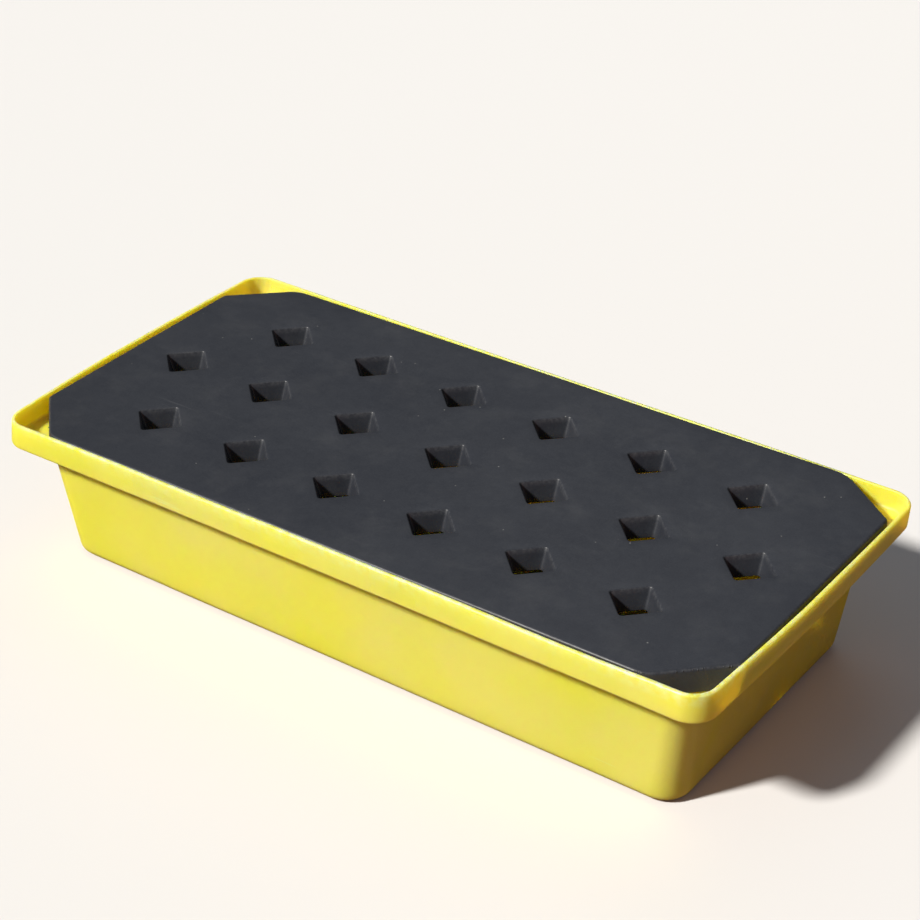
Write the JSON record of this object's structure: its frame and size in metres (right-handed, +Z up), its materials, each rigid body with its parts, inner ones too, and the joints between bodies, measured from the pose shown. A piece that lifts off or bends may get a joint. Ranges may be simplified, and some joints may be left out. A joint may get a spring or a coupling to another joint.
{
  "type": "spill containment tray",
  "caption": "Low rectangular spill tray with a stepped rim and a lift-out flat deck with staggered square drain pockets and cut-off corners.",
  "frame": {"origin": "centre of the tray's flat underside, on the surface it stands on", "axes": "+X along the tray's length, +Y across its width, +Z up out of the sump"},
  "size_m": [0.805, 0.405, 0.16],
  "materials": {
    "tray_polyethylene": "satin, slightly translucent moulded polyethylene",
    "deck_polyethylene": "satin moulded polyethylene",
    "plug_plastic": "smooth moulded polyethylene"
  },
  "bodies": {
    "tray": {"sump_tray": "tray_polyethylene"},
    "deck": {"deck_grid": "deck_polyethylene", "vent_plug": "plug_plastic"}
  },
  "joints": [
    {"name": "deck_lift", "type": "slide", "parent": "tray", "child": "deck", "axis": [0, 0, 1], "range_m": [0, 0.12]}
  ]
}
